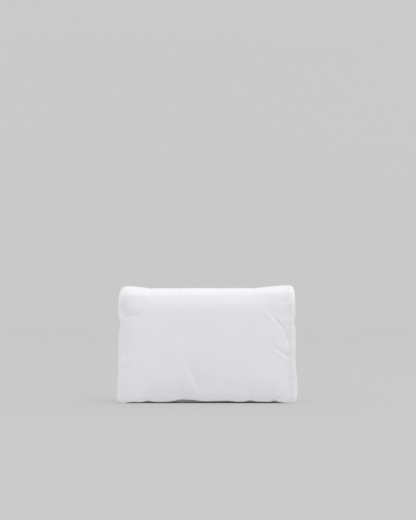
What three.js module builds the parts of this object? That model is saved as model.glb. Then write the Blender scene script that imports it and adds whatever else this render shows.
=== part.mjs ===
// A padded fold-over clutch bag, in millimetres, standing on its base as it would on a table.
// +Z is up, the front faces -Y, and the origin is at the middle of the base.
// One long padded panel makes the base, the back, the top roll and the front flap. A narrow padded
// strip is sewn along each of its long edges. A pocket panel stands on the base inside the fold and
// closes the bag's hollow, and a hidden magnet holds the flap against it.

import * as THREE from "three";
import { LoftGeometry } from "three/addons/geometries/LoftGeometry.js";

// Overall sizes
const bagHeight = 180; // at the middle of the roll
const bagDepth = 76;
const sewnGap = 0.3; // between pieces that are sewn together

// The side edges: the seam's distance from the centre line at the top and at the base, how far the padded
// strip stands out past it, and how much the roll rises to that end, with the place where its rise begins
const leftEdge = { side: -1, top: 125, base: 128, standOut: 12, rise: 4.2, riseStart: 84 };
const rightEdge = { side: 1, top: 128, base: 131, standOut: 9, rise: 5.6, riseStart: 66 };

// Padding, measured through each wall
const baseThick = 12;
const backThick = 17;
const rollThick = 17;
const flapThick = 17;
const hemThick = 4;
const noseThick = 4; // at the base's front edge

// Profile of the long panel, seen from the side
const ridgeRoom = 0.9; // how far the ridges of folds stand out of the flap
const frontFace = ridgeRoom - bagDepth / 2;
const backFace = bagDepth / 2;
const flapInner = frontFace + flapThick;
const backInner = backFace - backThick;
const baseFront = -16.5; // where the flat of the base ends
const noseReach = 4.5; // and its rounded front edge beyond that
const heelRadius = 15;
const heelInnerRadius = 5;
const rollSpring = 138; // where the straight walls pass into the roll
const rollRise = bagHeight - rollSpring;
const curlTop = 26; // where the flap begins to curl in to its hem
const curlIn = 8;
const innerCurlTop = 40; // where the flap's inner face begins to taper to the hem
const hemHeight = 0.5; // the hem above the ground, at the flap's corners
const wallCrown = 2; // bow of the back and front walls

// Softness of the long panel across its width
const seamPinch = 3; // padding pulled in by the stitches of each side seam
const seamPinchOnTop = 1; // and on top of the roll
const pinchSpread = 9;
const hemSag = 2.5; // the hem's middle is lifted this far, and its corners rest
const hemReach = 30; // height over which that lift dies away

// Side strips
const stripSquareness = 0.7; // power of the section's round: 1 is an ellipse, less is squarer
const stripEnd = 0.02; // share of a strip's length over which each end tapers
const stripEndShare = 0.7; // and how much of its width is left there

// Pocket panel, a U in plan that stands on the base and meets the back
const pocketHalf = 122;
const pocketFront = -17.5;
const pocketCornerWide = 24;
const pocketCornerDeep = 16;
const pocketCrown = 1.5;

// Pocket wall by height: pulled in at its sewn foot and its turned lip, padded between. Its back ends stop
// short of the back at the foot and the lip, to clear the rounds of the heel and the roll.
const pocketLevels = [
  { z: baseThick + sewnGap, inset: 3, wall: 8, short: heelInnerRadius },
  { z: 19, inset: 1, wall: 11, short: 0 },
  { z: 45, inset: 0, wall: 13, short: 0 },
  { z: 90, inset: 0, wall: 13, short: 0 },
  { z: 128, inset: 0.5, wall: 12, short: 0 },
  { z: 141, inset: 2, wall: 9, short: 1.5 },
  { z: 146, inset: 4.5, wall: 4, short: 3 },
];

// Magnet between the pocket and the flap
const magnetRadius = 9;
const magnetHeight = 42;
const magnetThick = pocketFront - flapInner - 2 * sewnGap;

// Faces along each stretch of the long panel's profile: outside, and the plainer inside
const stretchFaces = [
  { stretch: "nose", outside: 3, inside: 3 },
  { stretch: "base", outside: 1, inside: 1 },
  { stretch: "heel", outside: 4, inside: 2 },
  { stretch: "back", outside: 6, inside: 3 },
  { stretch: "roll", outside: 16, inside: 9 },
  { stretch: "front", outside: 20, inside: 5 },
  { stretch: "curl", outside: 4, inside: 3 },
];
const facesAcross = 44;
const edgeCrowding = 0.3; // share by which faces crowd towards the side seams
const stripFaces = 8; // faces around a side strip's round
const pocketFaces = { side: 1, corner: 5, front: 5 };
const magnetSides = 24;

// Folds of the front: a valley with a ridge on its lower side. The place is the fold's middle, the slope
// is its direction in degrees from level, and the depth is the valley's.
const folds = [
  { name: "right_diagonal", x: 107, z: 131, slope: -51, length: 62, width: 7, depth: 3.2, ridge: 0.7 },
  { name: "right_tail", x: 127, z: 101, slope: -80, length: 30, width: 5, depth: 2.2, ridge: 0.4 },
  { name: "right_lower", x: 117, z: 76, slope: -33, length: 36, width: 6, depth: 2, ridge: 0.7 },
  { name: "right_middle", x: 96, z: 79, slope: -35, length: 30, width: 7, depth: 1.2, ridge: 0.6 },
  { name: "lower_diagonal", x: -20, z: 42, slope: -66, length: 58, width: 7, depth: 1.6, ridge: 0.9 },
  { name: "lower_short", x: 36, z: 25, slope: -58, length: 22, width: 6, depth: 1.2, ridge: 0.7 },
  { name: "left_upper", x: -112, z: 141, slope: -4, length: 34, width: 6, depth: 1.8, ridge: 0.4 },
  { name: "left_lower", x: -124, z: 62, slope: 42, length: 26, width: 6, depth: 1.4, ridge: 0.5 },
  { name: "right_hem", x: 111, z: 13, slope: 45, length: 20, width: 6, depth: 1.8, ridge: 0.6 },
];
const ridgeSpacing = 1.6; // from a fold's valley to its ridge, in fold widths

// Arches in the flap's lower edge, on top of its even sag
const hemArches = [
  { x: -26, lift: 2.4, spread: 16 },
  { x: -90, lift: 0.9, spread: 9 },
  { x: 68, lift: 0.8, spread: 10 },
  { x: 107, lift: 1.5, spread: 6 },
];

// Waists where a side strip is drawn in, by height. They fade out towards the back of the roll.
const stripWaists = [
  { side: -1, z: 188, draw: 6, spread: 12 },
  { side: -1, z: 127, draw: 2, spread: 9 },
  { side: -1, z: 42, draw: 1.2, spread: 8 },
  { side: 1, z: 190, draw: 7.5, spread: 15 },
  { side: 1, z: 131, draw: 2.2, spread: 9 },
  { side: 1, z: 70, draw: 0.8, spread: 22 },
];
const waistFade = 20; // half of the depth over which they fade

const bell = (distance, spread) => Math.exp(-((distance / spread) ** 2));
const squarer = (value) => Math.sign(value) * Math.abs(value) ** stripSquareness;
const smooth = THREE.MathUtils.smoothstep;
const lerp = THREE.MathUtils.lerp;

// Outside and inside curves of the profile, in the plane of Y and Z, from the base's front edge to the hem
function profileCurves() {
  const quarter = Math.PI / 2;
  const point = (y, z) => new THREE.Vector2(y, z);
  const arc = (y, z, wide, high, from, to) =>
    new THREE.EllipseCurve(y, z, wide, high, from, to, to < from);
  const crowned = (y, from, to, crown) =>
    new THREE.QuadraticBezierCurve(point(y, from), point(y + 2 * crown, (from + to) / 2), point(y, to));
  const nose = (baseThick - noseThick) / 2;
  const heelY = backFace - wallCrown - heelRadius;
  const innerHeelY = backInner - heelInnerRadius;
  const innerHeelZ = baseThick + heelInnerRadius;
  const frontEdge = frontFace + wallCrown;
  const backEdge = backFace - wallCrown;
  const rollMiddle = (frontEdge + backEdge) / 2;
  const innerRollMiddle = (flapInner + backInner) / 2;
  const hemY = frontFace + curlIn;
  const innerHemY = hemY + hemThick;
  const outside = {
    nose: arc(baseFront, nose, noseReach, nose, 2 * quarter, 3 * quarter),
    base: new THREE.LineCurve(point(baseFront, 0), point(heelY, 0)),
    heel: arc(heelY, heelRadius, heelRadius, heelRadius, -quarter, 0),
    back: crowned(backEdge, heelRadius, rollSpring, wallCrown),
    roll: arc(rollMiddle, rollSpring, backEdge - rollMiddle, rollRise, 0, 2 * quarter),
    front: crowned(frontEdge, rollSpring, curlTop, -wallCrown),
    curl: arc(hemY, curlTop, hemY - frontEdge, curlTop - hemHeight, 2 * quarter, 3 * quarter),
  };
  const inside = {
    nose: arc(baseFront, baseThick - nose, noseReach, nose, 2 * quarter, quarter),
    base: new THREE.LineCurve(point(baseFront, baseThick), point(innerHeelY, baseThick)),
    heel: arc(innerHeelY, innerHeelZ, heelInnerRadius, heelInnerRadius, -quarter, 0),
    back: crowned(backInner, innerHeelZ, rollSpring, wallCrown / 4),
    roll: arc(innerRollMiddle, rollSpring, backInner - innerRollMiddle, rollRise - rollThick, 0, 2 * quarter),
    front: crowned(flapInner, rollSpring, innerCurlTop, -wallCrown / 4),
    curl: arc(innerHemY, innerCurlTop, flapInner - innerHemY, innerCurlTop - hemHeight, 0, -quarter),
  };
  return { outside, inside };
}

// Stations along one face of the profile: a depth and a height, the direction out of the padding there,
// and the stretch they belong to
function stations(curves, face, spacedAs = face) {
  const outwards = face === "outside" ? 1 : -1;
  const found = [];
  stretchFaces.forEach((row, index) => {
    const curve = curves[face][row.stretch];
    const count = row[spacedAs];
    for (let i = index === 0 ? 0 : 1; i <= count; i++) {
      const { x: depth, y: height } = curve.getPoint(i / count);
      const along = curve.getTangent(i / count);
      const out = new THREE.Vector2(along.y, -along.x).multiplyScalar(outwards);
      found.push({ depth, height, out, face, stretch: row.stretch });
    }
  });
  return found;
}

// Depth of all folds at a place on the front, inwards as a negative number
function foldRelief(x, z) {
  let relief = 0;
  for (const fold of folds) {
    const slope = THREE.MathUtils.degToRad(fold.slope);
    const along = (x - fold.x) * Math.cos(slope) + (z - fold.z) * Math.sin(slope);
    const across = (z - fold.z) * Math.cos(slope) - (x - fold.x) * Math.sin(slope);
    const valley = bell(across, fold.width);
    const ridge = fold.ridge * bell(across + ridgeSpacing * fold.width, fold.width);
    relief += fold.depth * (ridge - valley) * bell(along, fold.length / 2);
  }
  return relief;
}

// Lift of the flap's lower edge above its corners
function hemLift(x, half) {
  const sag = hemSag * (1 - smooth(Math.abs(x), half / 2, half));
  return hemArches.reduce((lift, arch) => lift + arch.lift * bell(x - arch.x, arch.spread), sag);
}

// One point of the long panel, at a share of the width from -1 at the left seam to 1 at the right
function panelPoint(station, share) {
  const { depth, height, out, face, stretch } = station;
  const edge = share < 0 ? leftEdge : rightEdge;
  const half = lerp(edge.base, edge.top, height / bagHeight);
  const x = share * half;
  if (stretch === "nose" || stretch === "base") return new THREE.Vector3(x, depth, height);

  const upRoll = smooth(height, rollSpring, bagHeight);
  const onFlap = depth < 0 && stretch !== "roll";
  let push = -lerp(seamPinch, seamPinchOnTop, upRoll) * Math.exp((Math.abs(x) - half) / pinchSpread);
  if (depth < 0 && face === "outside") push += foldRelief(x, height) * (1 - upRoll);
  let lift = edge.rise * smooth(Math.abs(x), edge.riseStart, half) * upRoll;
  if (onFlap) lift = hemLift(x, half) * (1 - smooth(height, 0, hemReach));
  return new THREE.Vector3(x, depth + out.x * push, height + out.y * push + lift);
}

// The long panel: base, back, roll and flap, lofted from the left seam to the right
function panelGeometry(curves) {
  const ring = [...stations(curves, "outside"), ...stations(curves, "inside").toReversed()];
  const sections = [];
  for (let i = 0; i <= facesAcross; i++) {
    const even = (2 * i) / facesAcross - 1;
    const share = even * (1 + edgeCrowding - edgeCrowding * even ** 2);
    sections.push(ring.map((station) => panelPoint(station, share)));
  }
  return new LoftGeometry(sections, { capStart: true, capEnd: true });
}

// How far a strip stands out past its seam, at a station that is a share of the way along the panel
function stripStandOut(edge, station, share) {
  const onFront = smooth(-station.depth, -waistFade, waistFade);
  const waists = stripWaists.filter((waist) => waist.side === edge.side);
  const drawIn = (waist) => waist.draw * bell(station.height - waist.z, waist.spread) * onFront;
  const drawn = waists.reduce((sum, waist) => sum + drawIn(waist), 0);
  const fromEnd = Math.min(share, 1 - share) / stripEnd;
  return (edge.standOut - drawn) * lerp(stripEndShare, 1, smooth(fromEnd, 0, 1));
}

// A side strip: a rounded length of padding sewn along one long edge of the panel
function stripGeometry(curves, edge) {
  const outer = stations(curves, "outside");
  const inner = stations(curves, "inside", "outside");
  const sections = outer.map((station, i) => {
    const from = panelPoint(station, edge.side);
    const to = panelPoint(inner[i], edge.side);
    const middle = from.clone().add(to).divideScalar(2);
    const reach = from.clone().sub(middle);
    const standOut = stripStandOut(edge, station, i / (outer.length - 1));
    const ring = [];
    for (let k = 0; k <= stripFaces; k++) {
      const turn = (Math.PI * k) / stripFaces;
      const place = middle.clone().addScaledVector(reach, squarer(Math.cos(turn)));
      place.x += edge.side * (sewnGap + standOut * squarer(Math.sin(turn)));
      ring.push(place);
    }
    return edge.side > 0 ? ring.toReversed() : ring;
  });
  return new LoftGeometry(sections, { capStart: true, capEnd: true });
}

// Half of the pocket's plan at one level, from the back end of a side wall to the middle of the front
function pocketHalfPlan(inset, short, side) {
  const half = pocketHalf - inset;
  const front = pocketFront + inset;
  const wide = pocketCornerWide - Math.min(inset, pocketCornerWide / 2);
  const deep = pocketCornerDeep - Math.min(inset, pocketCornerDeep / 2);
  const shoulder = front + pocketCrown;
  const backEnd = new THREE.Vector2(half - pocketCrown, backInner - sewnGap - short);
  const sideWall = new THREE.LineCurve(backEnd, new THREE.Vector2(half, shoulder + deep));
  const corner = new THREE.EllipseCurve(half - wide, shoulder + deep, wide, deep, 0, -Math.PI / 2, true);
  const frontWall = new THREE.QuadraticBezierCurve(
    new THREE.Vector2(half - wide, shoulder),
    new THREE.Vector2((half - wide) / 2, front),
    new THREE.Vector2(0, front),
  );
  const plan = [
    ...sideWall.getPoints(pocketFaces.side),
    ...corner.getPoints(pocketFaces.corner).slice(1),
    ...frontWall.getPoints(pocketFaces.front).slice(1),
  ];
  return plan.map((place) => new THREE.Vector2(side * place.x, place.y));
}

// The pocket panel: a padded wall that runs round the front and both sides of the hollow
function pocketGeometry() {
  const sections = pocketLevels.map((level) => {
    const wall = (inset) => [
      ...pocketHalfPlan(inset, level.short, -1),
      ...pocketHalfPlan(inset, level.short, 1).toReversed().slice(1),
    ];
    const ring = [...wall(level.inset), ...wall(level.inset + level.wall).toReversed()];
    return ring.map((place) => new THREE.Vector3(place.x, place.y, level.z));
  });
  return new LoftGeometry(sections, { capStart: true, capEnd: true });
}

// White nylon shell over the padding, and the magnet's plated steel
const nylon = () =>
  new THREE.MeshStandardMaterial({ name: "white_nylon", color: 0xf3f3f5, roughness: 0.55, metalness: 0 });
const steel = () =>
  new THREE.MeshStandardMaterial({ name: "plated_steel", color: 0xb9bbbd, roughness: 0.3, metalness: 1 });

function named(name, geometry, material) {
  const mesh = new THREE.Mesh(geometry, material);
  mesh.name = name;
  return mesh;
}

const curves = profileCurves();
const bag = new THREE.Group();
bag.add(named("back_and_flap_panel", panelGeometry(curves), nylon()));
bag.add(named("side_strip_left", stripGeometry(curves, leftEdge), nylon()));
bag.add(named("side_strip_right", stripGeometry(curves, rightEdge), nylon()));
bag.add(named("pocket_panel", pocketGeometry(), nylon()));

// The magnet is one flat disc between the flap's inner face and the pocket
const disc = new THREE.CylinderGeometry(magnetRadius, magnetRadius, magnetThick, magnetSides);
const magnet = named("flap_magnet", disc, steel());
magnet.position.set(0, (pocketFront + flapInner) / 2, magnetHeight);
bag.add(magnet);

export default bag;
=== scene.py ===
import math
import bpy
import bmesh
import numpy as np
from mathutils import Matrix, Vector


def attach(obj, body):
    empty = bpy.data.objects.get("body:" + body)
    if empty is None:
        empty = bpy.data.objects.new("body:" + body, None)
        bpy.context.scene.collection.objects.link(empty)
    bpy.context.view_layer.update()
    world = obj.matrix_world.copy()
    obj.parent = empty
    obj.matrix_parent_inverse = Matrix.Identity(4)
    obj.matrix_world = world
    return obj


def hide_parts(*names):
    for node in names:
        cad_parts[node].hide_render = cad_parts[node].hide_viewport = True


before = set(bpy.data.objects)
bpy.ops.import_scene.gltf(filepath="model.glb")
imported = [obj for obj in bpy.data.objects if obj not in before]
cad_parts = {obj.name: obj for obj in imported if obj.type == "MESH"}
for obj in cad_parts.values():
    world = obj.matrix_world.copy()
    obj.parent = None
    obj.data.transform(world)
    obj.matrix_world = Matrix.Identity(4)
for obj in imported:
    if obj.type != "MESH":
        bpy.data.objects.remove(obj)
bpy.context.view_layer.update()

mm = 0.001
tiny = 1e-9  # keeps a length from being zero
scene = bpy.context.scene


def hexLinear(code):  # sRGB hex to linear RGBA
    values = [int(code[i:i + 2], 16) / 255 for i in (1, 3, 5)]
    return [v / 12.92 if v <= 0.04045 else ((v + 0.055) / 1.055) ** 2.4 for v in values] + [1.0]


def mix(a, b, t):
    return a + (b - a) * t


def smooth(value, low, high):
    t = np.clip((value - low) / (high - low), 0, 1)
    return t * t * (3 - 2 * t)


def bell(distance, spread):
    return np.exp(-(distance / spread) ** 2)


def unevenBell(distance, before, after, power):  # its own spread on each side, crisper as the power falls
    return np.exp(-np.abs(distance / np.where(distance < 0, before, after)) ** power)


def addNode(tree, kind, settings=None, **inputs):  # a node, its settings, and its inputs as values or links
    node = tree.nodes.new(kind)
    for key, value in (settings or {}).items():
        setattr(node, key, value)
    for name, value in inputs.items():
        socket = next(s for s in node.inputs if s.enabled and s.name.replace(" ", "") == name)
        if isinstance(value, bpy.types.NodeSocket):
            tree.links.new(value, socket)
        else:
            socket.default_value = value
    return node


# The bag's shape in millimetres: x across, y deep, z high. It starts from the solids and follows the photo.
bag = {
    "height": 180.0, "front": -37.1, "back": 38.0, "bow": 2.0, "frontBow": 0.3, "innerBow": 0.5,
    "wall": 17.0, "base": 12.0, "nose": 4.0, "noseReach": 2.0, "baseFront": -14.0,
    "heel": 15.0, "innerHeel": 5.0, "rollSpring": 149.0, "innerSpring": 138.0,
    "curlTop": 36.0, "curlIn": 8.4, "curlTurn": 60.0, "innerCurlTop": 40.0,
    "pinch": 3.0, "pinchOnTop": 1.0, "pinchSpread": 9.0,
    "hem": 6.2, "hemHeight": 0.15, "hemSag": 1.95, "hemReach": 30.0, "hemClear": 0.2, "hemDrop": (0.1, 0.6),
}
edges = {
    "left": {"side": -1, "top": 125.0, "base": 128.0, "standOut": 12.0, "rise": 3.4, "riseStart": 84.0,
             "square": 1.0, "hemFade": (117.0, 133.0)},
    "right": {"side": 1, "top": 128.0, "base": 131.0, "standOut": 10.0, "rise": 4.6, "riseStart": 66.0,
              "square": 0.7, "hemFade": (115.0, 127.0)},
}
hemArches = [  # x, lift, spread
    (-113, 0.9, 8), (-95, -0.5, 26), (-92, 1.9, 7), (-53, 0.6, 5), (-39, 3.0, 11), (-20, 2.3, 12),
    (21, 1.4, 22), (36, 0.5, 6), (53, -0.5, 8), (68, 1.4, 5), (68, 0.9, 14), (106, 1.8, 4.2),
]
stripWaists = {  # height, draw, spread
    "left": [(188, 4.5, 10), (162, -0.4, 10), (127, 3, 9), (95, 0.8, 40), (42, 1.2, 8)],
    "right": [(192, 6, 9), (131, 2.2, 9), (70, 0.8, 22), (24, -1.2, 18)],
}
strip = {"end": 0.02, "endShare": 0.7, "waistFade": 20.0, "gap": 0.05}
stretches = ["nose", "base", "heel", "back", "roll", "front", "curl"]


def arc(y, z, wide, high, start, stop):
    return lambda t: (y + wide * np.cos(mix(start, stop, t)), z + high * np.sin(mix(start, stop, t)))


def bowed(y, start, stop, bow):
    return lambda t: (y + 4 * bow * t * (1 - t), mix(start, stop, t))


def level(start, stop, z):
    return lambda t: (mix(start, stop, t), z + 0 * t)


def profile():  # the long panel's outside and inside, from the base's front edge over the top to the hem
    b, quarter = bag, math.pi / 2
    inFront, inBack = b["front"] + b["wall"], b["back"] - b["wall"]
    frontEdge, backEdge = b["front"] + b["bow"], b["back"] - b["bow"]
    nose = (b["base"] - b["nose"]) / 2
    heelY, innerHeelY = backEdge - b["heel"], inBack - b["innerHeel"]
    innerHeelZ = b["base"] + b["innerHeel"]
    rollY, innerRollY = (frontEdge + backEdge) / 2, (inFront + inBack) / 2
    rise, innerRise = b["height"] - b["rollSpring"], b["height"] - b["innerSpring"] - b["wall"]
    hemY = b["front"] + b["curlIn"]
    innerHemY = hemY + b["hem"]
    curl, innerCurl = b["curlTop"] - b["hemHeight"], b["innerCurlTop"] - b["hemHeight"]
    turn = math.radians(b["curlTurn"])
    curlWide, curlHigh = (hemY - frontEdge) / (1 - math.cos(turn)), curl / math.sin(turn)
    outside = {
        "nose": arc(b["baseFront"], nose, b["noseReach"], nose, 2 * quarter, 3 * quarter),
        "base": level(b["baseFront"], heelY, 0),
        "heel": arc(heelY, b["heel"], b["heel"], b["heel"], -quarter, 0),
        "back": bowed(backEdge, b["heel"], b["rollSpring"], b["bow"]),
        "roll": arc(rollY, b["rollSpring"], backEdge - rollY, rise, 0, 2 * quarter),
        "front": bowed(frontEdge, b["rollSpring"], b["curlTop"], -b["frontBow"]),
        "curl": arc(frontEdge + curlWide, b["curlTop"], curlWide, curlHigh, 2 * quarter, 2 * quarter + turn),
    }
    inside = {
        "nose": arc(b["baseFront"], b["base"] - nose, b["noseReach"], nose, 2 * quarter, quarter),
        "base": level(b["baseFront"], innerHeelY, b["base"]),
        "heel": arc(innerHeelY, innerHeelZ, b["innerHeel"], b["innerHeel"], -quarter, 0),
        "back": bowed(inBack, innerHeelZ, b["innerSpring"], b["innerBow"]),
        "roll": arc(innerRollY, b["innerSpring"], inBack - innerRollY, innerRise, 0, 2 * quarter),
        "front": bowed(inFront, b["innerSpring"], b["innerCurlTop"], -b["innerBow"]),
        "curl": arc(innerHemY, b["innerCurlTop"], inFront - innerHemY, innerCurl, 0, -quarter),
    }
    return outside, inside


def stations(curves, outwards, counts):  # places along one face, and the way out of the padding
    rows = {"depth": [], "height": [], "outY": [], "outZ": [], "stretch": [], "free": []}
    nudge = 1e-4  # of a stretch's length, either way, to find its direction
    for index, name in enumerate(stretches):
        t = np.linspace(0, 1, counts[name] + 1)[0 if index == 0 else 1:]
        y, z = curves[name](t)
        ahead, behind = curves[name](t + nudge), curves[name](t - nudge)
        alongY, alongZ = ahead[0] - behind[0], ahead[1] - behind[1]
        length = np.hypot(alongY, alongZ)
        # The base lies flat on the floor, and the heel leaves it
        freed = {"nose": 0 * t, "base": 0 * t, "heel": smooth(t, 0, 1)}
        rows["depth"].extend(y)
        rows["height"].extend(z)
        rows["outY"].extend(outwards * alongZ / length)
        rows["outZ"].extend(-outwards * alongY / length)
        rows["stretch"].extend([name] * len(t))
        rows["free"].extend(freed.get(name, 1 + 0 * t))
    found = {key: np.array(value) for key, value in rows.items()}
    steps = np.hypot(np.diff(found["depth"]), np.diff(found["height"]))
    found["along"] = np.concatenate([[0], np.cumsum(steps)])
    return found


def hemLift(x):  # the hem hangs clear of the floor between its ends
    lift = bag["hemSag"] + sum(height * bell(x - place, spread) for place, height, spread in hemArches)
    for edge in edges.values():
        lift = lift * (1 - smooth(edge["side"] * x, *edge["hemFade"]))
    return lift


def panelPoints(rows, share, slim=0.0):  # a row of points for each station, a column for each share across
    pick = lambda key: np.where(share < 0, edges["left"][key], edges["right"][key])[None, :]
    height, depth = rows["height"][:, None], rows["depth"][:, None]
    half = mix(pick("base"), pick("top"), height / bag["height"])
    x = share[None, :] * half
    free = rows["free"][:, None]
    onRoll = (rows["stretch"] == "roll")[:, None]
    upRoll = smooth(height, bag["innerSpring"], bag["height"])
    nearSeam = np.exp((np.abs(x) - half) / bag["pinchSpread"])
    push = -mix(bag["pinch"], bag["pinchOnTop"], upRoll) * nearSeam - slim * (1 - nearSeam)
    rise = pick("rise") * smooth(np.abs(x), pick("riseStart"), half) * upRoll
    sag = hemLift(x) * (1 - smooth(height, 0, bag["hemReach"]))
    lift = np.where((depth < 0) & ~onRoll, sag, rise)
    y = depth + rows["outY"][:, None] * push * free
    z = height + (rows["outZ"][:, None] * push + lift) * free
    return np.stack([x, y, z], -1)


def stripPoints(outRows, inRows, name, turn):  # a side strip's cloth from its outer seam to its inner one
    edge = edges[name]
    ends = np.array([float(edge["side"])])
    start, stop = panelPoints(outRows, ends)[:, 0], panelPoints(inRows, ends)[:, 0]
    toFront = smooth(-outRows["depth"], -strip["waistFade"], strip["waistFade"])
    standOut = np.full(len(start), edge["standOut"])
    for height, draw, spread in stripWaists[name]:
        standOut -= draw * bell(outRows["height"] - height, spread) * toFront
    share = outRows["along"] / outRows["along"][-1]
    standOut *= mix(strip["endShare"], 1.0, smooth(np.minimum(share, 1 - share), 0, strip["end"]))
    power = lambda v: np.sign(v) * np.abs(v) ** edge["square"]
    middle, reach = (start + stop) / 2, (start - stop) / 2
    found = middle[:, None] + reach[:, None] * power(np.cos(turn))[None, :, None]
    found[..., 0] += edge["side"] * standOut[:, None] * power(np.sin(turn))[None, :]
    return found


# The cloth is one sheet: left strip, long panel and right strip in a row, so that their seams stay closed
sheet = {
    "simRows": {"nose": 2, "base": 12, "heel": 9, "back": 56, "roll": 60, "front": 56, "curl": 14},
    "simAcross": 96, "simAround": 12,
    "fineRows": {"nose": 2, "base": 14, "heel": 12, "back": 50, "roll": 84, "front": 112, "curl": 28},
    "fineAcross": 196, "fineAround": 24, "crowding": 0.3,
    "slim": 1.2, "moveCap": 5.0, "frames": 20, "seed": 5, "uneven": 0.04, "evenBySeam": 1.0,
}
blowing = {  # how the cloth gives and how hard its padding presses, in the cloth modifier's own settings
    "quality": 6, "mass": 0.15, "air_damping": 1, "tension_stiffness": 15, "compression_stiffness": 15,
    "shear_stiffness": 5, "bending_stiffness": 0.5, "use_pressure": True, "uniform_pressure_force": 4.0,
}


def acrossShares(count):  # closer together towards the seams
    even = np.linspace(-1, 1, count + 1)
    return even * (1 + sheet["crowding"] - sheet["crowding"] * even ** 2)


def clothSheet(counts, across, around, slim):
    outside, inside = profile()
    outRows, inRows = stations(outside, 1, counts), stations(inside, -1, counts)
    turn = np.linspace(0, math.pi, around + 1)
    left, right = (stripPoints(outRows, inRows, name, turn) for name in ("left", "right"))
    middle = panelPoints(outRows, acrossShares(across), slim)
    return np.concatenate([left[:, :0:-1], middle, right[:, 1:]], 1), outRows


def gridNormals(grid):  # out of the padding
    downwards, acrossways = np.gradient(grid, axis=0), np.gradient(grid, axis=1)
    found = np.cross(downwards, acrossways)
    return found / np.maximum(np.linalg.norm(found, axis=-1, keepdims=True), tiny)


def rowRun(grid):  # length along each row
    steps = np.linalg.norm(np.diff(grid, axis=1), axis=-1)
    return np.concatenate([np.zeros((len(grid), 1)), np.cumsum(steps, 1)], 1)


def seamDistance(grid, around):  # along the cloth to the nearest seam of each point
    run, columns = rowRun(grid), grid.shape[1] - 1
    seams = [0, around, columns - around, columns]
    return np.min([np.abs(run - run[:, [seam]]) for seam in seams], 0)


def blownCloth():  # how far the padding's pressure moves each point of the sheet, in mm
    around = sheet["simAround"]
    grid, rows = clothSheet(sheet["simRows"], sheet["simAcross"], around, sheet["slim"])
    draw = np.random.default_rng(sheet["seed"])
    toSeam = seamDistance(grid, around)
    uneven = draw.normal(0, sheet["uneven"], toSeam.shape) * (toSeam > sheet["evenBySeam"])
    start = grid + gridNormals(grid) * uneven[..., None]
    index = np.arange(toSeam.size).reshape(toSeam.shape)
    faces = np.stack([index[:-1, :-1], index[1:, :-1], index[1:, 1:], index[:-1, 1:]], -1).reshape(-1, 4)
    mesh = bpy.data.meshes.new("cloth")
    mesh.from_pydata((start.reshape(-1, 3) * mm).tolist(), [], faces.tolist())
    cloth = bpy.data.objects.new("cloth", mesh)
    scene.collection.objects.link(cloth)

    held = np.zeros(toSeam.shape, bool)  # the seams, the hem, and what lies on the floor
    held[:, [0, around, -1 - around, -1]] = True
    held[rows["free"] == 0] = True
    held[-1] = True
    sewn = cloth.vertex_groups.new(name="sewn")
    sewn.add(index[held].tolist(), 1.0, "REPLACE")

    sim = cloth.modifiers.new("cloth", "CLOTH")
    for key, value in blowing.items():
        setattr(sim.settings, key, value)
    sim.settings.vertex_group_mass = sewn.name
    sim.settings.vertex_group_shrink = sewn.name  # shrinks nothing, but changes how the cloth settles
    sim.settings.effector_weights.gravity = 0
    sim.collision_settings.use_collision = False
    sim.point_cache.frame_start, sim.point_cache.frame_end = 1, sheet["frames"]
    for step in range(1, sheet["frames"] + 1):
        scene.frame_set(step)
    graph = bpy.context.evaluated_depsgraph_get()
    moved = meshPoints(cloth.evaluated_get(graph).data).reshape(grid.shape) / mm - grid
    bpy.data.objects.remove(cloth)
    bpy.data.meshes.remove(mesh)
    scene.frame_set(1)
    far = np.linalg.norm(moved, axis=-1, keepdims=True)
    print("cloth moved, mm:", np.percentile(far, [5, 50, 95, 100]).round(2).tolist())
    return moved * np.minimum(1, sheet["moveCap"] / np.maximum(far, tiny))


def splined(grid, places, axis):  # a smooth curve along the grid's values, read at fractional places
    values = np.moveaxis(grid, axis, 0)
    padded = np.concatenate([[2 * values[0] - values[1]], values, [2 * values[-1] - values[-2]]])
    base = np.clip(np.floor(places).astype(int), 0, len(values) - 2)
    t = places - base
    weights = [(1 - t) ** 3, 3 * t ** 3 - 6 * t ** 2 + 4, 3 * (t + t ** 2 - t ** 3) + 1, t ** 3]
    spread = (-1,) + (1,) * (values.ndim - 1)
    found = sum(padded[base + k] * (weight / 6).reshape(spread) for k, weight in enumerate(weights))
    return np.moveaxis(found, 0, axis)


def simPlaces():  # where the fine sheet's rows and columns lie on the simulated one
    rows, first = [0.0], 0
    for name in stretches:
        count, fine = sheet["simRows"][name], sheet["fineRows"][name]
        rows.extend(first + count * np.arange(1, fine + 1) / fine)
        first += count
    around = np.linspace(0, sheet["simAround"], sheet["fineAround"] + 1)
    across = np.linspace(0, sheet["simAcross"], sheet["fineAcross"] + 1)
    columns = np.concatenate([around[:-1], sheet["simAround"] + across,
                              sheet["simAround"] + sheet["simAcross"] + around[1:]])
    return np.array(rows), columns


def meshPoints(mesh):
    found = np.zeros(len(mesh.vertices) * 3)
    mesh.vertices.foreach_get("co", found)
    return found.reshape(-1, 3)


# Gathers that run in from a seam, drawn up by its stitches. Places and widths are shares of their spacing.
gather = {
    "place": (0.1, 0.9), "height": (0.3, 1.0), "ways": [1.0, 1.0, -0.6], "width": (0.24, 0.42),
    "reach": (0.4, 1.0), "widening": 0.12, "swell": 1.2,
}


def gatherTable(seed, length, spacing, height, reach, slant):
    draw = np.random.default_rng(seed)
    count = int(length / spacing)
    return {
        "at": (np.arange(count) + draw.uniform(*gather["place"], count)) * spacing,
        "height": draw.uniform(*gather["height"], count) * draw.choice(gather["ways"], count) * height,
        "width": draw.uniform(*gather["width"], count) * spacing,
        "reach": draw.uniform(*gather["reach"], count) * reach,
        "slant": draw.normal(0, slant, count),
    }


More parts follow.
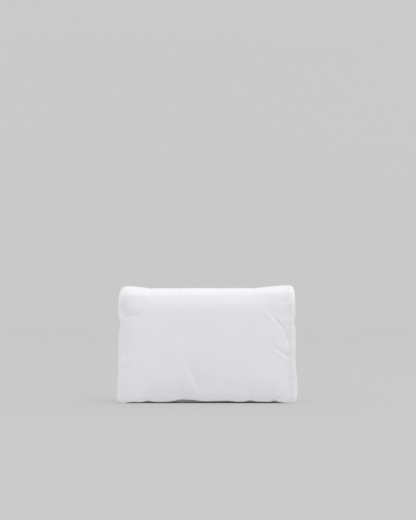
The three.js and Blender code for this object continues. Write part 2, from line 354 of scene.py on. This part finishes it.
def gathers(table, along, inwards, swell):  # relief in mm at places along a seam and inwards from it
    relief = np.zeros_like(along)
    grown = 1 - np.exp(-inwards / swell)
    for at, height, width, reach, slant in zip(*table.values()):
        across = bell(along - at - slant * inwards, width + gather["widening"] * inwards)
        relief += height * across * np.exp(-inwards / reach) * grown
    return relief


# Folds of the front. Each path runs through places (x, z), and its waves lie beside it: how far to the left
# of its direction, how high, and how wide on the right and on the left. Crisp folds have a lower power.
folds = {
    "rightDiagonalTop": {
        "path": [(85, 153), (95, 141), (100, 134.7), (106, 127)], "ends": (0.45, 0.3), "power": 1.5,
        "waves": [(0, 0.35, 4, 1.5), (3.2, -1.0, 2.2, 14)]},
    "rightDiagonal": {
        "path": [(100, 134.7), (105, 128.4), (110, 122), (116, 116), (122, 109)], "ends": (0.3, 0.15),
        "power": 1.5, "waves": [(0, 0.3, 3.5, 1.5), (3.3, -1.3, 2.2, 2.8), (9, 0.3, 3, 6)]},
    "rightTail": {
        "path": [(121, 113), (126, 104), (128, 97), (126, 88)], "ends": (0.3, 0.4), "power": 2,
        "waves": [(0, -1.4, 3.5, 1.8)]},
    "rightLower": {
        "path": [(99, 85), (108, 81), (118, 75), (126, 69), (133, 66)], "ends": (0.3, 0.25), "power": 2,
        "waves": [(0, 0.35, 4.5, 2.2), (4.2, -0.7, 4.0, 3.0), (10, 0.3, 4, 6)]},
    "rightMiddle": {
        "path": [(85, 85), (92, 80), (101, 74), (109, 69)], "ends": (0.4, 0.4), "power": 2,
        "waves": [(0, 0.2, 4.5, 2.5), (4.5, -0.3, 4, 3.5)]},
    "lowerDiagonal": {
        "path": [(-35, 74), (-29, 60), (-21, 40), (-12, 20), (-9, 11)], "ends": (0.5, 0.3), "power": 1.2,
        "waves": [(0, -2.0, 5, 24), (0.5, -0.3, 2, 5)]},
    "hemPull": {
        "path": [(-52, 6), (-34, 7), (-14, 6)], "ends": (0.4, 0.4), "power": 2,
        "waves": [(0, -1.3, 8, 12)]},
    "lowerShort": {
        "path": [(30, 34), (34, 26), (39, 18)], "ends": (0.4, 0.3), "power": 1.3,
        "waves": [(0, -0.8, 3.5, 16)]},
    "leftUpper": {
        "path": [(-128, 136), (-113, 136.5), (-98, 135)], "ends": (0.15, 0.55), "power": 1.5,
        "waves": [(1, -1.8, 16, 4.5)]},
    "leftStrip": {
        "path": [(-146, 142), (-137, 143), (-127, 143)], "ends": (0.05, 0.3), "power": 2,
        "waves": [(0, -4.0, 9, 18)]},
    "leftHollow": {
        "path": [(-142, 92), (-126, 91), (-106, 88)], "ends": (0.05, 0.6), "power": 2,
        "waves": [(0, -2.8, 36, 24)]},
    "leftLower": {
        "path": [(-134, 53), (-127, 59), (-120, 65)], "ends": (0.3, 0.4), "power": 2,
        "waves": [(-4, -0.6, 5, 5), (5, 0.25, 4, 5)]},
    "rightLump": {
        "path": [(84, 106), (100, 104), (116, 101)], "ends": (0.45, 0.4), "power": 2,
        "waves": [(0, 0.8, 10, 13)]},
    "rightSeamLow": {
        "path": [(110, 51), (124, 45), (138, 42)], "ends": (0.4, 0.15), "power": 2,
        "waves": [(0, 0.35, 12, 4.5)]},
    "rightHem": {
        "path": [(105, 4), (109, 10), (115, 16)], "ends": (0.15, 0.4), "power": 2,
        "waves": [(0, 0.5, 3, 2), (-3.5, -1.0, 3, 2)]},
    "leftCorner": {
        "path": [(-140, 3), (-118, 3), (-88, 3)], "ends": (0.12, 0.6), "power": 2,
        "waves": [(0, 2.4, 6, 13)]},
    "rightCorner": {
        "path": [(102, 3), (122, 3), (140, 3)], "ends": (0.5, 0.12), "power": 2,
        "waves": [(0, 2.2, 6, 13)]},
}
foldFacing = (0.1, 0.7)  # folds fade in as the cloth turns to the front
foldOver = 0.05  # how far a fold's fading reaches past its path's ends, in path lengths
hemWrinkles = {
    "x": -30.0, "z": 15.0, "wide": 14.0, "high": 4.5, "pitch": 3.8, "height": 0.28, "tilt": 0.06,
    "bend": 0.006,
}
rollRidges = [  # height at the middle, tilt across, how proud, how wide, times as proud near the ends
    {"z": 171.0, "tilt": 0.015, "proud": 1.7, "below": 8.0, "above": 5.0, "atEnds": 1.5},
    {"z": 156.0, "tilt": 0.035, "proud": 0.4, "below": 7.0, "above": 7.0, "atEnds": 0.2},
]
rollFront = {  # where the ridges fade in, and how much of them the strips keep
    "heights": (140.0, 148.0), "depths": (0.0, 12.0), "towardsEnds": (50.0, 105.0), "onStrip": 0.1,
    "stripReach": 3.0,
}
seamGathers = [  # side, seed, spacing, height near the floor, height further up, reach from the seam
    (-1, 11, 8.0, 0.3, 0.3, 11.0), (1, 12, 6.0, 0.6, 0.8, 11.0), (-1, 21, 5.0, 0.15, 0.25, 4.0),
    (1, 22, 4.4, 0.25, 0.9, 4.0),
]
seamSlant = 0.25
gatherLevels = (55.0, 90.0)  # heights between which one strength turns into the other
hemHalf = 131.0
hemGathers = {"seed": 13, "length": 2 * hemHalf, "spacing": 12.0, "height": 0.6, "reach": 12.0, "slant": 0.3}
topNicks = [(-88, 0.8, 3.0), (-43, 0.6, 2.5), (19, 0.7, 2.5), (75, 0.7, 3.0)]  # x, depth, half width
nickLevels = (166.0, 177.0)


def rounded(path):  # corners cut twice
    for _ in range(2):
        inner = [point for a, b in zip(path[:-1], path[1:]) for point in (mix(a, b, 0.25), mix(a, b, 0.75))]
        path = np.array([path[0], *inner[1:-1], path[-1]])
    return path


def foldRelief(fold, x, z):
    path = rounded(np.array(fold["path"], float))
    lengths = np.hypot(*np.diff(path, axis=0).T)
    nearest, beside, gone, before = np.full_like(x, np.inf), np.zeros_like(x), np.zeros_like(x), 0.0
    for a, b, length in zip(path[:-1], path[1:], lengths):
        ux, uz = (b - a) / length
        t = (x - a[0]) * ux + (z - a[1]) * uz
        held = np.clip(t, 0, length)
        offX, offZ = x - a[0] - held * ux, z - a[1] - held * uz
        distance = np.hypot(offX, offZ)
        closer = distance < nearest
        nearest = np.where(closer, distance, nearest)
        beside = np.where(closer, np.sign(ux * offZ - uz * offX) * distance, beside)
        gone = np.where(closer, (before + t) / lengths.sum(), gone)
        before += length
    fadeIn, fadeOut = fold["ends"]
    shown = smooth(gone, -foldOver, fadeIn) * (1 - smooth(gone, 1 - fadeOut, 1 + foldOver))
    return shown * sum(high * unevenBell(beside - at, right, left, fold["power"])
                       for at, high, right, left in fold["waves"])


def sheetRelief(base, rows, normal):  # fine relief in mm over the fine sheet
    around, columns = sheet["fineAround"], base.shape[1] - 1
    x, z = base[..., 0], base[..., 2]
    facing = smooth(-normal[..., 1], *foldFacing)
    along = rows["along"][:, None] + 0 * x
    length = rows["along"][-1]
    toSeam = seamDistance(base, around)
    onPanel = np.zeros(columns + 1)
    onPanel[around:columns - around + 1] = 1
    relief = np.zeros_like(x)
    for fold in folds.values():
        relief += facing * foldRelief(fold, x, z)
    wrinkles = hemWrinkles
    beside = x - wrinkles["x"]
    patch = bell(beside, wrinkles["wide"]) * bell(z - wrinkles["z"], wrinkles["high"])
    bent = z + wrinkles["tilt"] * beside + wrinkles["bend"] * beside ** 2
    relief += facing * wrinkles["height"] * patch * np.sin(2 * math.pi * bent / wrinkles["pitch"])
    onStrip = mix(rollFront["onStrip"], 1.0, np.exp(-toSeam / rollFront["stripReach"]))
    onRoll = smooth(z, *rollFront["heights"]) * smooth(-base[..., 1], *rollFront["depths"])
    onRoll = onRoll * np.where(onPanel > 0, 1, onStrip)
    for ridge in rollRidges:
        proud = ridge["proud"] * mix(1, ridge["atEnds"], smooth(np.abs(x), *rollFront["towardsEnds"]))
        offset = z - ridge["z"] - ridge["tilt"] * x
        relief += proud * unevenBell(offset, ridge["below"], ridge["above"], 2) * onRoll
    for place, depth, width in topNicks:
        relief -= depth * bell(x - place, width) * smooth(z, *nickLevels) * onPanel
    for side, seed, spacing, low, high, reach in seamGathers:
        table = gatherTable(seed, length, spacing, 1.0, reach, seamSlant)
        height = mix(low, high, smooth(z, *gatherLevels))
        relief += np.where(np.sign(x) == side, height * gathers(table, along, toSeam, gather["swell"]), 0)
    toHem = np.maximum(length - along, 0)
    atHem = gathers(gatherTable(**hemGathers), x + hemHalf, toHem, gather["swell"])
    relief += facing * onPanel * atHem
    return relief * rows["free"][:, None]


def finishedSheet():
    fine = (sheet["fineRows"], sheet["fineAcross"], sheet["fineAround"])
    base, rows = clothSheet(*fine, 0.0)
    rowPlaces, columnPlaces = simPlaces()
    moved = splined(splined(blownCloth(), rowPlaces, 0), columnPlaces, 1)
    grid = clothSheet(*fine, sheet["slim"])[0] + moved
    normal = gridNormals(grid)
    grid = grid + normal * sheetRelief(base, rows, normal)[..., None]
    grid[..., 2] = np.maximum(grid[..., 2], 0)  # the floor is in the way
    return grid, rows


# Meshes from grids of points
sharpFrom = math.radians(60)
turnSteps = 6  # of a rounded edge


def newPiece(name, points, faces):
    mesh = bpy.data.meshes.new(name)
    mesh.from_pydata((points * mm).tolist(), [], faces)
    work = bmesh.new()
    work.from_mesh(mesh)
    bmesh.ops.recalc_face_normals(work, faces=work.faces)
    work.to_mesh(mesh)
    work.free()
    mesh.shade_smooth()
    mesh.set_sharp_from_angle(angle=sharpFrom)
    piece = bpy.data.objects.new(name, mesh)
    scene.collection.objects.link(piece)
    return piece


def gridFaces(index):
    corners = [index[:-1, :-1], index[:-1, 1:], index[1:, 1:], index[1:, :-1]]
    return np.stack(corners, -1).reshape(-1, 4).tolist()


def sideFaces(outer, inner):  # faces between a fine border and a coarse one
    step = (len(outer) - 1) // (len(inner) - 1)
    return [[*outer[i * step:(i + 1) * step + 1].tolist(), int(inner[i + 1]), int(inner[i])]
            for i in range(len(inner) - 1)]


def paddedShell(name, outer, inner, turned):  # outer and inner cloth, with the turned hem's rows between them
    whole = np.concatenate([outer, turned])
    index = np.arange(whole.shape[0] * whole.shape[1]).reshape(whole.shape[:2])
    other = np.arange(inner.shape[0] * inner.shape[1]).reshape(inner.shape[:2]) + index.size
    last = len(outer) - 1
    faces = gridFaces(index) + gridFaces(other)
    faces += sideFaces(index[0], other[0]) + sideFaces(index[-1], other[-1])
    for column in (0, -1):
        faces += sideFaces(index[:last + 1, column], other[:, column])
        faces.append([*index[last:, column].tolist(), int(other[-1, column])])
    return newPiece(name, np.concatenate([whole.reshape(-1, 3), inner.reshape(-1, 3)]), faces)


def turnedEdge(start, stop, rise):  # rows of a rounded edge between the outer and the inner cloth
    found = []
    for angle in np.linspace(0, math.pi, turnSteps + 1)[1:-1]:
        ring = (start + stop) / 2 + (start - stop) / 2 * math.cos(angle)
        ring[:, 2] += rise * math.sin(angle)
        found.append(ring)
    return np.array(found)


def weaveMap(mesh, across, along):  # the cloth's own map, in metres along and across its threads
    corners = np.zeros(len(mesh.loops), int)
    mesh.loops.foreach_get("vertex_index", corners)
    layer = mesh.uv_layers.new(name="weave")
    places = np.stack([across[corners], along[corners]], -1).astype(np.float32)
    layer.uv.foreach_set("vector", places.ravel() * mm)


# Its distances place the cloth's painted seam shade
def seamMap(mesh, grids):  # how far each point lies from the nearer end of its row, in metres
    runs = [rowRun(grid) for grid in grids]
    toSeam = np.concatenate([np.minimum(run, run[:, -1:] - run).ravel() for run in runs]) * mm
    mesh.attributes.new("toSeam", "FLOAT", "POINT").data.foreach_set("value", toSeam.astype(np.float32))


def makePanel(outer, rows):
    halfRows = {name: count // 2 for name, count in sheet["fineRows"].items()}
    inRows = stations(profile()[1], -1, halfRows)
    inner = panelPoints(inRows, acrossShares(sheet["fineAcross"] // 2))
    columns = np.arange(outer.shape[1])
    under = np.stack([np.interp(columns, columns[::2], inner[-1, :, k]) for k in range(3)], -1)
    drop = np.clip((outer[-1, :, 2] + under[:, 2]) / 2 - bag["hemClear"], *bag["hemDrop"])
    turned = turnedEdge(outer[-1], under, -drop)
    piece = paddedShell("backAndFlapPanel", outer, inner, turned)
    across = [face[..., 0].ravel() for face in (outer, turned, inner)]
    outAlong = np.concatenate([rows["along"], np.full(len(turned), rows["along"][-1])])
    along = [np.repeat(outAlong, outer.shape[1]), np.repeat(inRows["along"], inner.shape[1])]
    weaveMap(piece.data, np.concatenate(across), np.concatenate(along))
    seamMap(piece.data, [outer, turned, inner])
    print("panel:", len(piece.data.polygons), "faces")
    return piece


def makeStrip(name, ring, side, rows):
    ring = ring + np.array([side * strip["gap"], 0, 0])
    count, points = ring.shape[:2]
    index = np.arange(count * points).reshape(count, points)
    closed = np.concatenate([index, index[:, :1]], 1)
    faces = gridFaces(closed) + [index[0].tolist(), index[-1].tolist()]
    piece = newPiece(name, ring.reshape(-1, 3), faces)
    weaveMap(piece.data, rowRun(ring).ravel(), np.repeat(rows["along"], points))
    seamMap(piece.data, [ring])
    print(name + ":", len(piece.data.polygons), "faces")
    return piece


# Pocket panel behind the flap, a U in plan
pocket = {
    "half": 122.0, "front": -17.5, "cornerWide": 24.0, "cornerDeep": 16.0, "crown": 1.5, "gap": 0.3,
    "rows": 54, "sideFaces": 12, "cornerFaces": 16, "frontFaces": 40, "widestRow": 20, "lipRise": 1.2,
    "gathers": {"seed": 31, "spacing": 10.0, "height": 0.9, "reach": 14.0, "slant": 0.2},
    "swell": 2.5, "sink": 0.5, "settle": 0.3, "gatherFade": (16.0, 60.0),
    "levels": [  # z, inset, wall, short of the back
        (12.3, 3, 8, 5), (19, 1, 11, 0), (45, 0, 13, 0), (90, 0, 13, 0), (128, 0.5, 12, 0), (141, 2, 9, 1.5),
        (144.6, 4.5, 4, 3),
    ],
}


def pocketPlan(inset, short):  # from the left back end round the front to the right back end
    p = pocket
    half, front = p["half"] - inset, p["front"] + inset
    wide = p["cornerWide"] - min(inset, p["cornerWide"] / 2)
    deep = p["cornerDeep"] - min(inset, p["cornerDeep"] / 2)
    shoulder = front + p["crown"]
    backEnd = bag["back"] - bag["wall"] - p["gap"] - short
    t = np.linspace(0, 1, p["sideFaces"] + 1)
    sideX, sideY = mix(half - p["crown"], half, t), mix(backEnd, shoulder + deep, t)
    turn = -np.linspace(0, math.pi / 2, p["cornerFaces"] + 1)[1:]
    cornerX, cornerY = half - wide + wide * np.cos(turn), shoulder + deep + deep * np.sin(turn)
    t = np.linspace(0, 1, p["frontFaces"] + 1)[1:]
    frontX = (half - wide) * (1 - t)
    frontY = mix(front, shoulder, (1 - t) ** 2)
    x, y = np.concatenate([sideX, cornerX, frontX]), np.concatenate([sideY, cornerY, frontY])
    return np.stack([np.concatenate([-x, x[-2::-1]]), np.concatenate([y, y[-2::-1]])], -1)


def makePocket():
    table = np.array(pocket["levels"], float)
    outer, inner = [], []
    for z, inset, wall, short in splined(table, np.linspace(0, len(table) - 1, pocket["rows"] + 1), 0):
        for grid, plan in ((outer, pocketPlan(inset, short)), (inner, pocketPlan(inset + wall, short))):
            grid.append(np.column_stack([plan, np.full(len(plan), z)]))
    outer, inner = np.array(outer), np.array(inner)
    run = rowRun(outer[[pocket["widestRow"]]])[0]
    along, down = run[None, :] + 0 * outer[..., 0], table[-1, 0] - outer[..., 2]
    gathered = gathers(gatherTable(length=run[-1], **pocket["gathers"]), along, down, pocket["swell"])
    relief = (gathered - pocket["sink"]) * smooth(outer[..., 2], *pocket["gatherFade"])
    # Its rows run upwards, so the grid's normals point into the padding
    outer = outer - gridNormals(outer) * np.minimum(relief, pocket["settle"])[..., None]
    turned = turnedEdge(outer[-1], inner[-1], pocket["lipRise"])
    piece = paddedShell("pocketPanel", outer, inner, turned)
    heights = np.concatenate([grid[..., 2].ravel() for grid in (outer, turned, inner)])
    weaveMap(piece.data, np.resize(run, len(heights)), heights)
    seamMap(piece.data, [outer, turned, inner])
    print("pocket:", len(piece.data.polygons), "faces")
    return piece


# Topstitching along the side strips, by Geometry Nodes
stitch = {
    "pitch": 3.4, "length": 2.5, "thickness": 0.5, "fromSeam": 5.0, "fromHem": 5.0, "segments": 8, "rings": 5,
}


def stitchTree(material):
    tree = bpy.data.node_groups.new("topstitching", "GeometryNodeTree")
    tree.interface.new_socket("Path", in_out="INPUT", socket_type="NodeSocketGeometry")
    for name in ("Pitch", "Length", "Thickness"):
        tree.interface.new_socket(name, in_out="INPUT", socket_type="NodeSocketFloat")
    tree.interface.new_socket("Stitches", in_out="OUTPUT", socket_type="NodeSocketGeometry")
    given = addNode(tree, "NodeGroupInput").outputs
    spaced = addNode(tree, "GeometryNodeResampleCurve", {"mode": "LENGTH"},
                     Curve=given["Path"], Length=given["Pitch"])
    tangent = addNode(tree, "GeometryNodeInputTangent")
    turned = addNode(tree, "FunctionNodeAlignRotationToVector", {"axis": "X"},
                     Vector=tangent.outputs["Tangent"])
    bead = addNode(tree, "GeometryNodeMeshUVSphere",  # one unit across, so that its scale is its size
                   Segments=stitch["segments"], Rings=stitch["rings"], Radius=0.5)
    size = addNode(tree, "ShaderNodeCombineXYZ",
                   X=given["Length"], Y=given["Thickness"], Z=given["Thickness"])
    placed = addNode(tree, "GeometryNodeInstanceOnPoints",
                     Points=spaced.outputs["Curve"], Instance=bead.outputs["Mesh"],
                     Rotation=turned.outputs["Rotation"], Scale=size.outputs["Vector"])
    real = addNode(tree, "GeometryNodeRealizeInstances", Geometry=placed.outputs["Instances"])
    dressed = addNode(tree, "GeometryNodeSetMaterial", Geometry=real.outputs["Geometry"], Material=material)
    done = addNode(tree, "NodeGroupOutput")
    tree.links.new(dressed.outputs["Geometry"], done.inputs["Stitches"])
    return tree


def seamPath(ring, distance):  # along a strip, at a distance from its outer seam
    return np.array([[np.interp(distance, run, row[:, k]) for k in range(3)]
                     for run, row in zip(rowRun(ring), ring)])


def makeStitches(paths, material):
    curve = bpy.data.curves.new("topstitching", "CURVE")
    curve.dimensions = "3D"
    for path in paths:
        spline = curve.splines.new("POLY")
        spline.points.add(len(path) - 1)
        spline.points.foreach_set("co", np.column_stack([path * mm, np.ones(len(path))]).ravel())
    lines = bpy.data.objects.new("stitchLines", curve)
    scene.collection.objects.link(lines)
    tree = stitchTree(material)
    sewing = lines.modifiers.new("sewing", "NODES")
    sewing.node_group = tree
    sizes = {name.title(): stitch[name] * mm for name in ("pitch", "length", "thickness")}
    for item in tree.interface.items_tree:
        if item.name in sizes:
            sewing[item.identifier] = sizes[item.name]
    graph = bpy.context.evaluated_depsgraph_get()
    mesh = bpy.data.meshes.new_from_object(lines.evaluated_get(graph), depsgraph=graph)
    mesh.name = "seamStitches"
    mesh.shade_smooth()
    piece = bpy.data.objects.new("seamStitches", mesh)
    scene.collection.objects.link(piece)
    bpy.data.objects.remove(lines)
    print("stitches:", len(mesh.polygons), "faces")
    return piece


# Materials: colours, and the sizes of their patterns in millimetres
nylon = {
    "pale": "#f6f6f9", "shaded": "#f1f1f4", "cloud": 50.0, "crinkle": 14.0, "roughness": (0.46, 0.58),
    # unfilled: how far in from the seams the painted seam shade reaches, in mm
    "crinkleDepth": 1.0, "threadDepth": 0.2, "unfilled": 12.0,
    "threadPitch": 1.1,  # real threads lie 0.2 mm apart, drawn coarser so that they show
}
thread = {"colour": "#ededef", "twist": 0.4, "twistDepth": 0.1}
steel = {"colour": "#b7b6b2", "mark": 1.5, "markDepth": 0.1, "roughness": (0.24, 0.4)}
colourA, colourB, colourOut = 6, 7, 2  # a mix node's colour sockets, by number because their names repeat


def newMaterial(name):
    material = bpy.data.materials.new(name)
    material.use_nodes = True
    material.node_tree.nodes.clear()
    return material, material.node_tree


def bandScale(pitch):  # a wave texture's bands lie pi / 10 apart at scale 1
    return math.pi / 10 / (pitch * mm)


def nylonTaffeta():  # calendered white nylon: a soft satin white whose threads are just felt in the light
    material, tree = newMaterial("white_nylon_taffeta")
    cloth = addNode(tree, "ShaderNodeUVMap", {"uv_map": "weave"})
    space = addNode(tree, "ShaderNodeTexCoord")
    waves = [addNode(tree, "ShaderNodeTexWave", {"bands_direction": direction}, Vector=cloth.outputs["UV"],
                     Scale=bandScale(nylon["threadPitch"]), Distortion=0.5, Detail=1.0)
             for direction in ("X", "Y")]
    weave = addNode(tree, "ShaderNodeMath", {"operation": "MULTIPLY"})
    for wave, socket in zip(waves, weave.inputs):
        tree.links.new(wave.outputs["Fac"], socket)
    crinkle = addNode(tree, "ShaderNodeTexNoise", Vector=space.outputs["Object"],
                      Scale=1 / (nylon["crinkle"] * mm), Detail=3.0, Roughness=0.55)
    cloudy = addNode(tree, "ShaderNodeTexNoise", Vector=space.outputs["Object"],
                     Scale=1 / (nylon["cloud"] * mm), Detail=2.0)
    shade = addNode(tree, "ShaderNodeMix", {"data_type": "RGBA"}, Factor=cloudy.outputs["Fac"])
    shade.inputs[colourA].default_value = hexLinear(nylon["shaded"])
    shade.inputs[colourB].default_value = hexLinear(nylon["pale"])
    # Painted shade at the seams: greyer there, partly because no white filling backs the cloth and partly to
    # stand in for the shade that falls in the seams' hollows
    seam = addNode(tree, "ShaderNodeAttribute", {"attribute_name": "toSeam"})
    unfilled = addNode(tree, "ShaderNodeMapRange", {"interpolation_type": "SMOOTHSTEP"},
                       Value=seam.outputs["Fac"], FromMax=nylon["unfilled"] * mm, ToMin=1.0, ToMax=0.0)
    drawn = addNode(tree, "ShaderNodeMix", {"data_type": "RGBA"}, Factor=unfilled.outputs["Result"])
    tree.links.new(shade.outputs[colourOut], drawn.inputs[colourA])
    drawn.inputs[colourB].default_value = hexLinear(nylon["shaded"])
    smoothest, roughest = nylon["roughness"]
    gloss = addNode(tree, "ShaderNodeMapRange", Value=crinkle.outputs["Fac"], ToMin=smoothest, ToMax=roughest)
    softBump = addNode(tree, "ShaderNodeBump", Height=crinkle.outputs["Fac"], Strength=0.12,
                       Distance=nylon["crinkleDepth"] * mm)
    threadBump = addNode(tree, "ShaderNodeBump", Height=weave.outputs["Value"], Strength=0.15,
                         Distance=nylon["threadDepth"] * mm, Normal=softBump.outputs["Normal"])
    shader = addNode(tree, "ShaderNodeBsdfPrincipled", BaseColor=drawn.outputs[colourOut],
                     Roughness=gloss.outputs["Result"], Normal=threadBump.outputs["Normal"],
                     IOR=1.53, SheenWeight=0.08, SheenRoughness=0.4)
    addNode(tree, "ShaderNodeOutputMaterial", Surface=shader.outputs["BSDF"])
    return material


def polyesterThread():  # twisted white sewing thread: a duller white, with its twist as fine slanted lines
    material, tree = newMaterial("white_polyester_thread")
    space = addNode(tree, "ShaderNodeTexCoord")
    twist = addNode(tree, "ShaderNodeTexWave", {"bands_direction": "DIAGONAL"},
                    Vector=space.outputs["Object"], Scale=bandScale(thread["twist"]))
    bump = addNode(tree, "ShaderNodeBump", Height=twist.outputs["Fac"], Strength=0.3,
                   Distance=thread["twistDepth"] * mm)
    shader = addNode(tree, "ShaderNodeBsdfPrincipled", BaseColor=hexLinear(thread["colour"]), Roughness=0.6,
                     IOR=1.54, Normal=bump.outputs["Normal"])
    addNode(tree, "ShaderNodeOutputMaterial", Surface=shader.outputs["BSDF"])
    return material


def platedSteel():  # nickel over steel, tumbled: a dull grey metal with faint marks
    material, tree = newMaterial("nickel_plated_steel")
    space = addNode(tree, "ShaderNodeTexCoord")
    marks = addNode(tree, "ShaderNodeTexNoise", Vector=space.outputs["Object"],
                    Scale=1 / (steel["mark"] * mm), Detail=2.0)
    smoothest, roughest = steel["roughness"]
    gloss = addNode(tree, "ShaderNodeMapRange", Value=marks.outputs["Fac"], ToMin=smoothest, ToMax=roughest)
    bump = addNode(tree, "ShaderNodeBump", Height=marks.outputs["Fac"], Strength=0.15,
                   Distance=steel["markDepth"] * mm)
    shader = addNode(tree, "ShaderNodeBsdfPrincipled", BaseColor=hexLinear(steel["colour"]), Metallic=1.0,
                     Roughness=gloss.outputs["Result"], Normal=bump.outputs["Normal"])
    addNode(tree, "ShaderNodeOutputMaterial", Surface=shader.outputs["BSDF"])
    return material


# Put the pieces on the frame

grid, rows = finishedSheet()
around = sheet["fineAround"]
leftRing, middle, rightRing = grid[:, :around + 1], grid[:, around:-around], grid[:, -around - 1:]
taffeta = nylonTaffeta()
pieces = [
    (makePanel(middle, rows), "back_and_flap_panel", 0.7),
    (makeStrip("sideStripLeft", leftRing, -1, rows), "side_strip_left", 0.7),
    (makeStrip("sideStripRight", rightRing, 1, rows), "side_strip_right", 0.7),
    (makePocket(), "pocket_panel", 0.6),
]
for piece, node, fill in pieces:
    piece.data.materials.append(taffeta)
    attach(piece, "root")
    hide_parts(node)

sewn = (rows["free"] > 0) & (rows["along"] < rows["along"][-1] - stitch["fromHem"])
stitches = makeStitches([
    seamPath(leftRing[sewn, ::-1], stitch["fromSeam"]) - [strip["gap"], 0, 0],
    seamPath(rightRing[sewn], stitch["fromSeam"]) + [strip["gap"], 0, 0],
], polyesterThread())
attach(stitches, "root")

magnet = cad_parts["flap_magnet"]
magnet.data.materials.clear()
magnet.data.materials.append(platedSteel())
print("pieces ride on the frame")


# Studio: a pale paper sweep, soft light all round with a little more from the upper right, and a level camera
studio = {
    "photoHeight": 520, "mmPerPixel": 1.5556,
    "centreX": 208.0, "bagCentreX": 206.5, "centreY": 260.0, "floorY": 403.8,
    "lens": 85.0, "sensor": 36.0, "frontPlane": -35.0,
    # The paper's painted glow, and the painted shadow patch under the bag where the paper doesn't glow
    "floorPaper": "#929292", "wallPaper": "#9f9f9f", "glow": 0.3,
    "footprint": (0.124, 0.0245), "footprintFade": 0.004,  # metres, from the middle
    "dome": 0.975, "domeLean": 0.15, "key": 0.2, "keyFrom": (0.15, 0.0, 0.99), "keySpread": 50.0,
}
backdrop = {"near": -3.2, "far": 2.6, "radius": 1.0, "wide": 6.0, "high": 1.4, "steps": 32}  # metres


def mattePaper():  # dull grey, paler where it stands up, with a painted glow that fills in the bag's shadow on it, and a painted shadow patch under the bag where it doesn't glow
    material, tree = newMaterial("matte_paper")
    surface = addNode(tree, "ShaderNodeNewGeometry")
    parts = addNode(tree, "ShaderNodeSeparateXYZ", Vector=surface.outputs["Normal"])
    shade = addNode(tree, "ShaderNodeMix", {"data_type": "RGBA"}, Factor=parts.outputs["Z"])
    shade.inputs[colourA].default_value = hexLinear(studio["wallPaper"])
    shade.inputs[colourB].default_value = hexLinear(studio["floorPaper"])
    paper = addNode(tree, "ShaderNodeBsdfDiffuse", Color=shade.outputs[colourOut])
    space = addNode(tree, "ShaderNodeTexCoord")
    place = addNode(tree, "ShaderNodeSeparateXYZ", Vector=space.outputs["Object"])
    beyond = addNode(tree, "ShaderNodeMath", {"operation": "MAXIMUM"})
    for axis, size, socket in zip("XY", studio["footprint"], beyond.inputs):
        away = addNode(tree, "ShaderNodeMath", {"operation": "ABSOLUTE"}, Value=place.outputs[axis])
        past = addNode(tree, "ShaderNodeMath", {"operation": "SUBTRACT"}, Value=away.outputs["Value"])
        past.inputs[1].default_value = size
        tree.links.new(past.outputs["Value"], socket)
    paintedGlowStrength = addNode(tree, "ShaderNodeMapRange", Value=beyond.outputs["Value"],
                  FromMax=studio["footprintFade"], ToMax=studio["glow"])
    glow = addNode(tree, "ShaderNodeEmission", Color=(1, 1, 1, 1), Strength=paintedGlowStrength.outputs["Result"])
    both = addNode(tree, "ShaderNodeAddShader")
    for shader, socket in zip((paper.outputs["BSDF"], glow.outputs["Emission"]), both.inputs):
        tree.links.new(shader, socket)
    addNode(tree, "ShaderNodeOutputMaterial", Surface=both.outputs["Shader"])
    return material


def makeSweep():
    far, radius, side = backdrop["far"], backdrop["radius"], backdrop["wide"] / 2
    outline = [(backdrop["near"], 0.0), (far - radius, 0.0)]
    outline += [(far - radius + radius * math.sin(a), radius - radius * math.cos(a))
                for a in np.linspace(0, math.pi / 2, backdrop["steps"] + 1)[1:]]
    outline.append((far, backdrop["high"]))
    corners = [(x, y, z) for y, z in outline for x in (-side, side)]
    faces = [(2 * i, 2 * i + 1, 2 * i + 3, 2 * i + 2) for i in range(len(outline) - 1)]
    mesh = bpy.data.meshes.new("sweep")
    mesh.from_pydata(corners, [], faces)
    mesh.shade_smooth()
    sweep = bpy.data.objects.new("sweep", mesh)
    scene.collection.objects.link(sweep)
    mesh.materials.append(mattePaper())


def lightStudio():
    world = bpy.data.worlds.new("softDome")
    world.use_nodes = True
    tree = world.node_tree
    tree.nodes.clear()
    least, most = (studio["dome"] * (1 + lean) for lean in (-studio["domeLean"], studio["domeLean"]))
    way = addNode(tree, "ShaderNodeTexCoord")
    parts = addNode(tree, "ShaderNodeSeparateXYZ", Vector=way.outputs["Generated"])
    leaning = addNode(tree, "ShaderNodeMapRange", Value=parts.outputs["X"],
                      FromMin=-1.0, ToMin=least, ToMax=most)
    dome = addNode(tree, "ShaderNodeBackground", Color=(1, 1, 1, 1), Strength=leaning.outputs["Result"])
    addNode(tree, "ShaderNodeOutputWorld", Surface=dome.outputs["Background"])
    scene.world = world
    key = bpy.data.lights.new("key", "SUN")
    key.energy = studio["key"]
    key.angle = math.radians(studio["keySpread"])
    lamp = bpy.data.objects.new("key", key)
    lamp.rotation_euler = (-Vector(studio["keyFrom"])).to_track_quat("-Z", "Y").to_euler()
    scene.collection.objects.link(lamp)
    scene.view_settings.view_transform = "Standard"


def placeCamera():
    camera = bpy.data.cameras.new("camera")
    camera.lens = studio["lens"]
    camera.sensor_width = studio["sensor"]
    scale = studio["mmPerPixel"] * mm
    distance = studio["photoHeight"] * scale * studio["lens"] / studio["sensor"]
    eye = bpy.data.objects.new("camera", camera)
    eye.location = ((studio["centreX"] - studio["bagCentreX"]) * scale, studio["frontPlane"] * mm - distance,
                    (studio["floorY"] - studio["centreY"]) * scale)
    eye.rotation_euler = (math.pi / 2, 0, 0)
    scene.collection.objects.link(eye)
    scene.camera = eye
    print("camera", round(distance, 3), "m away")


makeSweep()
lightStudio()
placeCamera()
